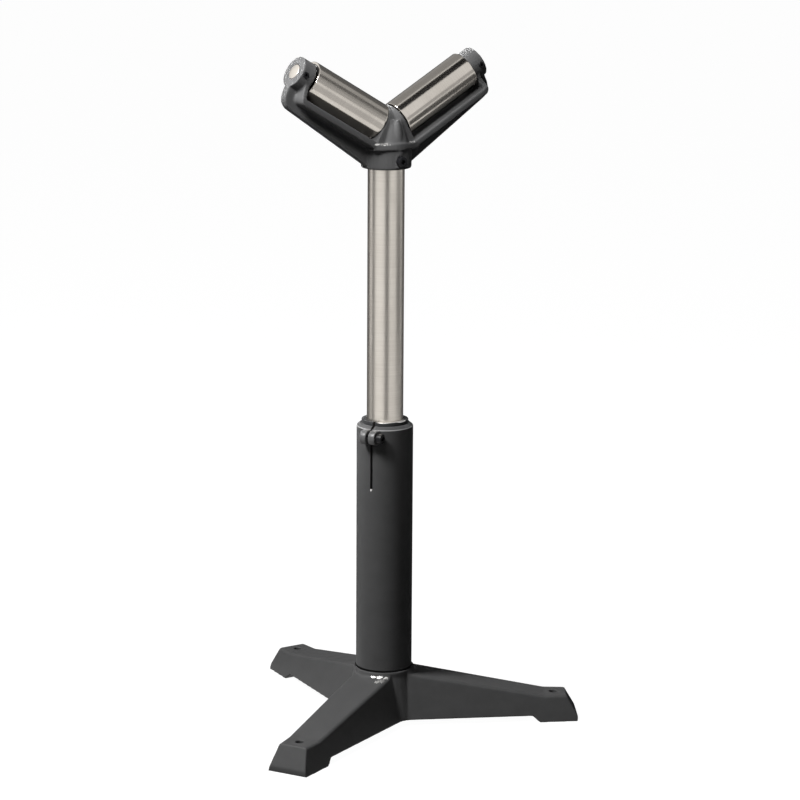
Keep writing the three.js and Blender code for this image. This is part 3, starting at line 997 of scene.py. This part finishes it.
@dataclass
class Column(Assembly):
    """Painted column with its split bush and pinch clamp."""

    radius: float = 37.5 * MM
    bore: float = 31.15 * MM
    foot: float = 14.7 * MM
    top: float = 409.5 * MM
    shoulder_width: float = 4.8 * MM
    shoulder_height: float = 4.0 * MM
    edge: float = 0.8 * MM
    bush_radius: float = 30.95 * MM
    bush_bore: float = 24.45 * MM
    bush_top: float = 414.5 * MM
    bush_length: float = 100.0 * MM
    bush_edge: float = 0.7 * MM
    clamp_angle: float = math.radians(210)
    slit_width: float = 3.5 * MM
    slit_depth: float = 84.5 * MM
    lug_thickness: float = 9.5 * MM
    lug_radius: float = 9.5 * MM
    lug_centre: float = 42.573 * MM
    lug_height: float = 396.5 * MM
    lug_edge: float = 1.3 * MM
    screw_radius: float = 4.0 * MM

    def clamp_frame(self, height: float) -> Matrix:
        """Give the clamp's frame, with X out of the column and Y towards the screw's head."""
        return self.raised(height) @ Matrix.Rotation(self.clamp_angle, 4, "Z")

    def screw_frame(self, shift: float) -> Matrix:
        """Give a frame on the clamp screw's axis, with Z towards its head."""
        shifted = Matrix.Translation((self.lug_centre, shift, 0.0))
        return self.clamp_frame(self.lug_height) @ shifted @ Matrix.Rotation(-math.pi / 2, 4, "X")

    def slit(self, bottom: float) -> Shape:
        """Cutter of the slit, with a round lower end.

        Args:
            bottom: Height of the lower end.

        Returns:
            The cutter.
        """
        half = self.slit_width / 2
        plate = Shape.slot(half, self.bush_top - bottom, 2 * self.radius, Facets.SMALL)
        upright = Matrix(((0, 0, 1, 0), (0, 1, 0, 0), (1, 0, 0, 0), (0, 0, 0, 1)))
        plate.placed(upright).mended()
        return plate.placed(self.clamp_frame(bottom + half))

    def tube(self) -> None:
        """Make and dress the column's tube."""
        slit_end = self.top - self.slit_depth
        below = slit_end - 2 * self.slit_width
        outline = [
            (self.bore, self.foot),
            (self.radius, self.foot),
            (self.radius, below),
            (self.radius, self.top - self.shoulder_height),
            (self.radius - self.shoulder_width, self.top),
            (self.bore, self.top),
            (self.bore, below),
        ]
        shape = Shape.turned(held(outline), Facets.LARGE).rounded(self.edge)
        piece = shape.placed(self.raised()).piece("painted_column")
        carved(piece, [self.slit(slit_end)])
        paint = TUBE_PAINT.material(self.effects)
        fitted(piece, paint, Body.BASE, ["column_tube"])

    def bush(self) -> None:
        """Make and dress the split bush."""
        bottom = self.bush_top - self.bush_length
        outline = [
            (self.bush_bore, bottom),
            (self.bush_radius, bottom),
            (self.bush_radius, self.bush_top),
            (self.bush_bore, self.bush_top),
        ]
        shape = Shape.turned(held(outline), Facets.LARGE).rounded(self.bush_edge)
        piece = shape.placed(self.raised()).piece("split_bush")
        carved(piece, [self.slit(bottom - self.slit_width)])
        paint = BUSH_PAINT.material(self.effects)
        fitted(piece, paint, Body.BASE, ["guide_bush"])

    def lug(self, side: Side, material: Material) -> None:
        """Make and dress a clamp lug.

        Args:
            side: Side of the slit, seen from outside the column.
            material: Paint of the lugs.
        """
        reach = self.lug_centre - self.bore
        plate = Shape.slot(self.lug_radius, reach, self.lug_thickness, Facets.MEDIUM)
        plate.rounded(self.lug_edge)
        half = self.slit_width / 2
        shift = half + self.lug_thickness if side is Side.RIGHT else -half
        inner = self.clamp_frame(self.lug_height) @ Matrix.Translation((self.bore, shift, 0.0))
        plate.placed(inner @ Matrix.Rotation(math.pi / 2, 4, "X"))
        column = Shape.bar(self.radius + RUNNING, 0.0, self.bush_top, Facets.LARGE)
        hole = Shape.bar(self.screw_radius + RUNNING, -self.radius, self.radius)
        piece = plate.piece(f"clamp_jaw_{side.label}")
        carved(piece, [column.placed(self.raised()), hole.placed(self.screw_frame(0.0))])
        fitted(piece, material, Body.BASE, [f"clamp_lug_{side.label}"])

    def screw(self) -> None:
        """Make and dress the clamp's cap screw."""
        outer = self.slit_width / 2 + self.lug_thickness
        place = self.screw_frame(outer + RUNNING)
        screw = CapScrew(length=2 * outer)
        screw.build("clamp_cap_screw", place, self.oxide, Body.CLAMP_SCREW, "clamp_screw")

    def build(self) -> None:
        """Make and dress every piece of the column."""
        self.tube()
        self.bush()
        jaws = JAW_PAINT.material(self.effects)
        for side in Side:
            self.lug(side, jaws)
        self.screw()


@dataclass
class CapScrew:
    """Cap screw whose head stands on the XY plane and whose shank points down."""

    length: float
    radius: float = 4.0 * MM
    head_radius: float = 6.5 * MM
    head_height: float = 8.0 * MM
    edge: float = 0.6 * MM
    socket_across: float = 6.0 * MM
    socket_depth: float = 4.0 * MM

    def build(self, name: str, place: Matrix, material: Material, body: Body, node: str) -> None:
        """Make and dress the screw.

        Args:
            name: Name of the piece.
            place: Frame of the head's seat.
            material: Its material.
            body: Body that it rides on.
            node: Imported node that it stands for.
        """
        outline = [
            (0.0, -self.length),
            (self.radius, -self.length),
            (self.radius, 0.0),
            (self.head_radius, 0.0),
            (self.head_radius, self.head_height),
            (0.0, self.head_height),
        ]
        shape = Shape.turned(outline, Facets.SMALL).rounded(self.edge)
        piece = shape.placed(place).piece(name)
        socket = key_socket(self.socket_across, self.head_height, self.socket_depth)
        carved(piece, [socket.placed(place)])
        fitted(piece, material, body, [node])


def key_socket(across: float, top: float, depth: float) -> Shape:
    """Cutter of a six-sided key socket.

    Args:
        across: Width across the flats.
        top: Height of the screw's face.
        depth: Depth below the face.

    Returns:
        The cutter along Z.
    """
    radius = across / math.sqrt(3)
    return Shape.bar(radius, top - depth, top + depth, Facets.HEXAGON)


@dataclass
class Mast(Assembly):
    """Bright tube that slides in the bush."""

    radius: float = 24.15 * MM
    bore: float = 20.15 * MM
    bottom: float = 354.5 * MM
    top: float = 772.7 * MM
    edge: float = 0.6 * MM

    def build(self) -> None:
        """Make and dress the mast."""
        outline = [
            (self.bore, self.bottom),
            (self.radius, self.bottom),
            (self.radius, self.top),
            (self.bore, self.top),
        ]
        shape = Shape.turned(held(outline), Facets.LARGE).rounded(self.edge)
        piece = shape.placed(self.raised()).piece("bright_mast")
        steel = TURNED_STEEL.material(self.effects)
        fitted(piece, steel, Body.MAST, ["mast_tube"])


@dataclass
class Head(Assembly):
    """Cast yoke with its screws, axles and rollers."""

    rim: float = 748.5 * MM
    apex: float = 800.147 * MM
    flange_top: float = 783.0 * MM
    sweep_back: float = 24.0 * MM
    sweep_levels: tuple[Point, ...] = (
        (-13.0 * MM, 12.0 * MM, 34.3 * MM),
        (0.0, 17.0 * MM, 35.0 * MM),
        (30.0 * MM, 8.0 * MM, 24.2 * MM),
    )
    sweep_steps: int = 9
    belt_height: float = 8.5 * MM
    belt_radius: float = 35.8 * MM
    belt_end: tuple[float, float] = (34.0 * MM, 26.0 * MM)
    belt_steps: int = 4
    tilt: float = math.radians(30)
    socket_radius: float = 24.45 * MM
    socket_depth: float = 24.5 * MM
    axle_radius: float = 10.0 * MM
    axle_start: float = 8.0 * MM
    axle_edge: float = 0.6 * MM
    post_face: float = 18.013 * MM
    ear_inner: float = 139.813 * MM
    boss_outer: float = 159.613 * MM
    boss_radius: float = 21.2 * MM
    bore_edge: float = 0.7 * MM
    lock_inset: float = 6.0 * MM
    lock_radius: float = 4.0 * MM
    lock_proud: float = 0.8 * MM
    lock_edge: float = 0.4 * MM
    lock_socket: float = 4.0 * MM
    lock_depth: float = 3.0 * MM
    screw_height: float = 760.0 * MM
    screw_seat: float = 33.6 * MM
    screw_plug: float = 8.7 * MM
    screw_radius: float = 4.0 * MM
    seat_radius: float = 7.1 * MM
    roller_start: float = 19.413 * MM
    roller_length: float = 119.0 * MM
    roller_radius: float = 25.0 * MM
    roller_seat: float = 21.4 * MM
    roller_bore: float = 20.2 * MM
    bearing_depth: float = 14.2 * MM
    roller_edge: float = 0.7 * MM
    voxel: float = 1.1 * MM
    passes: int = 3

    def arm_frame(self, side: Side) -> Matrix:
        """Give the frame of a roller's axis, with Z pointing out from the middle of the V."""
        out = Vector((side.value * math.cos(self.tilt), 0.0, math.sin(self.tilt)))
        return along(self.axis + Vector((0.0, 0.0, self.apex)), out)

    def lock_frame(self, side: Side) -> Matrix:
        """Give the frame of an axle's set screw, with Z pointing out to the front."""
        out = Vector((0.0, 0.0, self.boss_outer - self.lock_inset))
        return along(self.arm_frame(side) @ out, FRONT)

    def screw_frame(self, distance: float) -> Matrix:
        """Give a frame on the socket's screw, with Z pointing out to the front."""
        return along(self.axis + Vector((0.0, -distance, self.screw_height)), FRONT)

    def wrapped(self, corners: Iterable[Point]) -> Shape:
        """Wrap a solid around corners that count from the axis at the flange's top."""
        return Shape.hull(corners).placed(self.raised(self.flange_top))

    def sweep(self) -> Shape:
        """Fill the corners beside the ridge, so that it runs into the post in one sweep.

        Returns:
            The filler.
        """
        corners = []
        for height, half, front in self.sweep_levels:
            for step in range(-self.sweep_steps, self.sweep_steps + 1):
                turn = step * ARC_STEP
                bulge = self.sweep_back + (front - self.sweep_back) * math.cos(turn)
                corners.append((half * math.sin(turn), -bulge, height))
        return self.wrapped(corners)

    def belt(self) -> Shape:
        """Carry the flange's edge round the front of the socket.

        Returns:
            The belt.
        """
        across, front = self.belt_end
        outline = [(-across, -front), (across, -front), (across, 0.0), (-across, 0.0)]
        for step in range(-self.belt_steps, self.belt_steps + 1):
            turn = step * ARC_STEP
            outline.append((self.belt_radius * math.sin(turn), -self.belt_radius * math.cos(turn)))
        return self.wrapped((x, y, level) for x, y in outline for level in (-self.belt_height, 0.0))

    def plugs(self) -> list[Shape]:
        """Fill the machined holes while the casting is softened.

        Returns:
            The plugs.
        """
        socket_top = self.rim + self.socket_depth
        socket = Shape.bar(self.socket_radius + RUNNING, self.rim, socket_top, Facets.MEDIUM)
        screw = Shape.bar(self.screw_radius + RUNNING, -self.screw_plug, 0.0)
        filled = [
            socket.placed(self.raised()),
            screw.placed(self.screw_frame(self.screw_seat)),
        ]
        over = self.axle_radius + RUNNING + FIT
        lock_top = self.boss_radius - RUNNING
        for side in Side:
            arm = self.arm_frame(side)
            filled.append(Shape.bar(over, self.axle_start - FIT, self.post_face).placed(arm))
            filled.append(Shape.bar(over, self.ear_inner, self.boss_outer).placed(arm))
            lock = Shape.bar(self.lock_radius + RUNNING, self.axle_radius / 2, lock_top)
            filled.append(lock.placed(self.lock_frame(side)))
        return filled

    def holes(self) -> list[Shape]:
        """Cutters of the mast's socket, the axles' bores and the screws' holes.

        Returns:
            The cutters.
        """
        seat = [
            (0.0, -2 * OVER),
            (self.screw_radius + FIT, -2 * OVER),
            (self.screw_radius + FIT, -FIT),
            (self.seat_radius, -FIT),
            (self.seat_radius, OVER),
            (0.0, OVER),
        ]
        socket_top = self.rim + self.socket_depth
        socket = Shape.bar(self.socket_radius, self.rim - OVER, socket_top, Facets.LARGE)
        cutters = [
            socket.placed(self.raised()),
            Shape.turned(seat, Facets.SMALL).placed(self.screw_frame(self.screw_seat)),
        ]
        radius, start = self.axle_radius + FIT, self.axle_start - FIT
        for side in Side:
            bore = Shape.bore(radius, start, self.boss_outer, self.bore_edge, Facets.MEDIUM)
            cutters.append(bore.placed(self.arm_frame(side)))
            lock = Shape.bar(self.lock_radius + FIT, 0.0, self.boss_radius + OVER)
            cutters.append(lock.placed(self.lock_frame(side)))
        return cutters

    def yoke(self) -> None:
        """Make and dress the yoke casting."""
        fill = [self.sweep(), self.belt(), *self.plugs()]
        piece = Shape.copied("head_yoke").joined(fill).piece("cast_yoke")
        softened(piece, self.voxel, self.passes)
        carved(piece, self.holes())
        paint = YOKE_PAINT.material(self.effects)
        fitted(piece, paint, Body.HEAD, ["head_yoke"])

    def screws(self) -> None:
        """Make and dress the socket's cap screw and the axles' set screws."""
        screw = CapScrew(length=self.screw_seat - self.socket_radius + FIT)
        place = self.screw_frame(self.screw_seat + FIT)
        screw.build("yoke_cap_screw", place, self.oxide, Body.HEAD, "socket_screw")
        low, top = self.axle_radius + RUNNING, self.boss_radius + self.lock_proud
        for side in Side:
            place = self.lock_frame(side)
            shape = Shape.bar(self.lock_radius, low, top).rounded(self.lock_edge)
            piece = shape.placed(place).piece(f"axle_set_screw_{side.label}")
            carved(piece, [key_socket(self.lock_socket, top, self.lock_depth).placed(place)])
            fitted(piece, self.oxide, Body.HEAD, [f"axle_screw_{side.label}"])

    def arm(self, side: Side) -> None:
        """Make and dress the axle and the roller of one arm.

        Args:
            side: The arm.
        """
        arm = self.arm_frame(side)
        bright = self.steel(side, "axle", TURNED_STEEL).material(self.effects)
        shape = Shape.bar(self.axle_radius, self.axle_start, self.boss_outer, Facets.MEDIUM)
        piece = shape.rounded(self.axle_edge).placed(arm).piece(f"turned_axle_{side.label}")
        fitted(piece, bright, Body.HEAD, [f"axle_{side.label}"])
        start, end = self.roller_start, self.roller_start + self.roller_length
        outline = [
            (self.roller_seat, start),
            (self.roller_radius, start),
            (self.roller_radius, end),
            (self.roller_seat, end),
            (self.roller_seat, end - self.bearing_depth),
            (self.roller_bore, end - self.bearing_depth),
            (self.roller_bore, start + self.bearing_depth),
            (self.roller_seat, start + self.bearing_depth),
        ]
        shell = Shape.turned(held(outline), Facets.LARGE).rounded(self.roller_edge)
        piece = shell.placed(arm).piece(f"steel_roller_{side.label}")
        polished = self.steel(side, "roller", ROLLER_STEEL).material(self.effects)
        body = Body(f"{side.label}_roller")
        fitted(piece, polished, body, [f"roller_{side.label}"])

    def steel(self, side: Side, label: str, base: Steel) -> Steel:
        """Turn a steel's rings to lie round an arm's axis.

        Args:
            side: The arm.
            label: Word for the piece in the material's name.
            base: Steel with upright rings.

        Returns:
            The turned steel.
        """
        lean = -side.value * (math.pi / 2 - self.tilt)
        return replace(base, name=f"{label}_steel_{side.label}", turn=(0.0, lean, 0.0))

    def build(self) -> None:
        """Make and dress every piece of the head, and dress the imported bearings."""
        self.yoke()
        self.screws()
        for side in Side:
            self.arm(side)
        bearing = BEARING_STEEL.material(self.effects)
        for name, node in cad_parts.items():
            if name.startswith("bearing_"):
                node.data.materials.clear()
                node.data.materials.append(bearing)
                LOG.info("%s: dressed", name)


# Studio


def sheet(name: str, matrix: Matrix) -> Piece:
    """Put a flat rectangle into the scene.

    Args:
        name: Name of the object.
        matrix: Place, turn and size of a square with sides of one metre.

    Returns:
        The object.
    """
    shape = Shape()
    bmesh.ops.create_grid(shape.mesh, x_segments=1, y_segments=1, size=0.5)
    return shape.placed(matrix).piece(name)


@dataclass(frozen=True)
class Lamp:
    """A soft rectangular lamp that points at the stand, with its spread in degrees."""

    name: str
    place: Point
    size: tuple[float, float]
    power: float
    target: Point = (0.0, -0.05, 0.45)
    mirrored: bool = True
    spread: float = 180.0

    def hang(self) -> None:
        """Put the lamp into the scene."""
        light = bpy.data.lights.new(self.name, "AREA")
        light.shape = "RECTANGLE"
        light.size, light.size_y = self.size
        light.energy = self.power
        light.spread = math.radians(self.spread)
        lamp = bpy.data.objects.new(self.name, light)
        lamp.location = self.place
        aim = Vector(self.target) - Vector(self.place)
        lamp.rotation_euler = aim.to_track_quat("-Z", "Y").to_euler()
        lamp.visible_camera = False
        lamp.visible_glossy = self.mirrored
        bpy.context.scene.collection.objects.link(lamp)


@dataclass(frozen=True)
class Panel:
    """A grey panel that only shows in reflections, with its angles in degrees."""

    name: str
    bearing: float
    distance: float
    size: tuple[float, float]
    height: float
    tone: float
    lean: float = 0.0

    def stand(self, centre: Vector) -> None:
        """Put the panel into the scene.

        Args:
            centre: Foot of the stand's axis.
        """
        bearing = math.radians(self.bearing)
        out = Vector((math.sin(bearing), -math.cos(bearing), 0.0))
        place = along(centre + out * self.distance + Vector((0.0, 0.0, self.height)), -out)
        lean = Matrix.Rotation(math.radians(self.lean), 4, "X")
        panel = sheet(self.name, place @ lean @ Matrix.Diagonal((*self.size, 1.0, 1.0)))
        board = Surface(self.name)
        glow = board.add("ShaderNodeEmission", {"Strength": self.tone})
        panel.data.materials.append(board.closed(glow))
        panel.visible_camera = False
        panel.visible_diffuse = False
        panel.visible_shadow = False


@dataclass
class Studio:
    """White floor and surroundings, soft lamps and grey panels."""

    floor_size: float = 60.0
    floor_glow: float = 0.98
    floor_colour: float = 0.1
    surroundings: float = 0.015
    lamps: tuple[Lamp, ...] = (
        Lamp("key_lamp", (-1.55, -0.02, 2.35), (0.6, 0.6), 90.0),
        Lamp("rim_lamp", (-0.95, 2.2, 1.9), (1.2, 1.0), 6.0, (-0.08, -0.05, 0.9), False, 18.0),
        Lamp("head_lamp", (-0.55, -0.42, 1.4), (0.3, 0.3), 0.75, (-0.03, -0.05, 0.84), False, 36.0),
        Lamp("crown_lamp", (0.35, 0.45, 1.55), (0.3, 0.3), 1.0, (0.1, -0.05, 0.9), False, 26.0),
    )
    panels: tuple[Panel, ...] = (
        Panel("right_low", 80.0, 1.1, (2.2, 0.1), 0.05, 0.02),
        Panel("right_middle", 54.0, 1.1, (0.75, 0.41), 0.455, 0.12),
        Panel("right_floor", 88.0, 0.6, (1.0, 0.8), 0.004, 0.02, -90.0),
        Panel("right_bend", 46.0, 2.2, (0.8, 0.5), 1.25, 0.4),
        Panel("right_high", 57.0, 2.2, (1.0, 0.5), 1.75, 0.15),
        Panel("right_top", 77.0, 2.2, (1.2, 1.2), 1.8, 0.48),
        Panel("right_back", 116.0, 3.0, (3.2, 3.4), 1.7, 0.15),
        Panel("front_strip", -24.0, 2.2, (0.95, 1.2), 0.6, 0.05),
        Panel("front_right", 30.0, 2.0, (0.9, 0.5), 0.93, 0.55),
        Panel("front_floor", -24.0, 1.5, (0.65, 1.4), 0.004, 0.05, -90.0),
        Panel("front_right_floor", 17.0, 1.9, (0.8, 2.2), 0.003, 0.7, -90.0),
        Panel("left_strip", -114.0, 1.6, (0.6, 1.2), 0.6, 0.05),
        Panel("left_floor", -114.0, 1.1, (0.4, 1.0), 0.004, 0.05, -90.0),
        Panel("back_low", 148.0, 1.2, (5.0, 1.2), 0.6, 0.08),
        Panel("back_floor", 148.0, 0.7, (4.0, 0.9), 0.004, 0.08, -90.0),
        Panel("back_high", 148.0, 3.3, (9.0, 4.5), 2.25, 0.4),
        Panel("rim_card", 205.0, 2.43, (1.2, 1.0), 1.94, 1.2),
        Panel("roof", 148.0, 1.75, (6.0, 3.3), 4.5, 0.37, 90.0),
        Panel("overhead", -4.0, 0.48, (1.4, 0.85), 2.2, 0.02, 90.0),
    )

    @staticmethod
    def seen_white(board: Board) -> Socket:
        """Give one for rays that show the background, and zero for rays that light the stand.

        Args:
            board: Tree of the floor or the world.

        Returns:
            Socket with the number.
        """
        path = board.add("ShaderNodeLightPath").outputs
        mirrored = board.math("MAXIMUM", path["Is Glossy Ray"], path["Is Transmission Ray"])
        return board.math("MAXIMUM", path["Is Camera Ray"], mirrored)

    def floor(self) -> None:
        """Lay the white floor, which keeps the stand's shadow."""
        floor = sheet("floor", Matrix.Diagonal((self.floor_size, self.floor_size, 1.0, 1.0)))
        board = Surface("white_floor")
        tone = (self.floor_colour, self.floor_colour, self.floor_colour, 1.0)
        matt = board.add("ShaderNodeBsdfDiffuse", {"Color": tone})
        shown = board.math("MULTIPLY", self.seen_white(board), self.floor_glow)
        glow = board.add("ShaderNodeEmission", {"Strength": shown})
        both = board.add("ShaderNodeAddShader", {0: matt.outputs[0], 1: glow.outputs[0]})
        floor.data.materials.append(board.closed(both))

    def world(self) -> None:
        """Surround the stand with white that is dimmer as a light than as a background."""
        world = bpy.data.worlds.new("white_room")
        world.use_nodes = True
        world.node_tree.nodes.clear()
        board = Board(world.node_tree)
        strength = board.spread(self.seen_white(board), 0.0, 1.0, (self.surroundings, 1.0))
        inputs = {"Color": (1.0, 1.0, 1.0, 1.0), "Strength": strength}
        light = board.add("ShaderNodeBackground", inputs)
        board.add("ShaderNodeOutputWorld", {"Surface": light.outputs[0]})
        bpy.context.scene.world = world

    def build(self, centre: Vector) -> None:
        """Set up floor, surroundings, lamps and panels.

        Args:
            centre: Foot of the stand's axis.
        """
        self.floor()
        self.world()
        for lamp in self.lamps:
            lamp.hang()
        for panel in self.panels:
            panel.stand(centre)
        bpy.context.scene.view_settings.view_transform = "Standard"


@dataclass
class Viewpoint:
    """Camera at the photograph's place."""

    place: Point = (-1.95838, -3.17815, 1.25488)
    heading: float = math.radians(-32.382)
    dip: float = math.radians(12.4752)
    roll: float = math.radians(0.3523)
    focal_pixels: float = 2854.96
    picture_pixels: float = 800.0
    sensor: float = 36.0
    sight: float = 200.0

    def build(self) -> None:
        """Put the camera into the scene."""
        ahead = Vector((-math.sin(self.heading), math.cos(self.heading), 0.0)) * math.cos(self.dip)
        ahead.z = -math.sin(self.dip)
        right = ahead.cross(Vector((0.0, 0.0, 1.0))).normalized()
        up = right.cross(ahead)
        level = Matrix((right, up, -ahead)).transposed().to_4x4()
        camera = bpy.data.cameras.new("camera")
        camera.sensor_width = self.sensor
        camera.lens = self.focal_pixels / self.picture_pixels * self.sensor
        camera.clip_end = self.sight
        viewer = bpy.data.objects.new("camera", camera)
        roll = Matrix.Rotation(self.roll, 4, "Z")
        viewer.matrix_world = Matrix.Translation(self.place) @ level @ roll
        bpy.context.scene.collection.objects.link(viewer)
        bpy.context.scene.camera = viewer


def main() -> None:
    """Build the stand's looks and the studio around it."""
    logging.basicConfig(level=logging.INFO, format="%(name)s: %(message)s")
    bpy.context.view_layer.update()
    low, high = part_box("mast_tube")
    middle = (low + high) / 2
    axis = Vector((middle.x, middle.y, 0.0))
    effects = Effects()
    oxide = BLACK_OXIDE.material(effects)
    Viewpoint().build()
    for assembly in (TripodBase, Column, Mast, Head):
        assembly(axis, effects, oxide).build()
    Studio().build(axis)


if __name__ == "__main__":
    main()
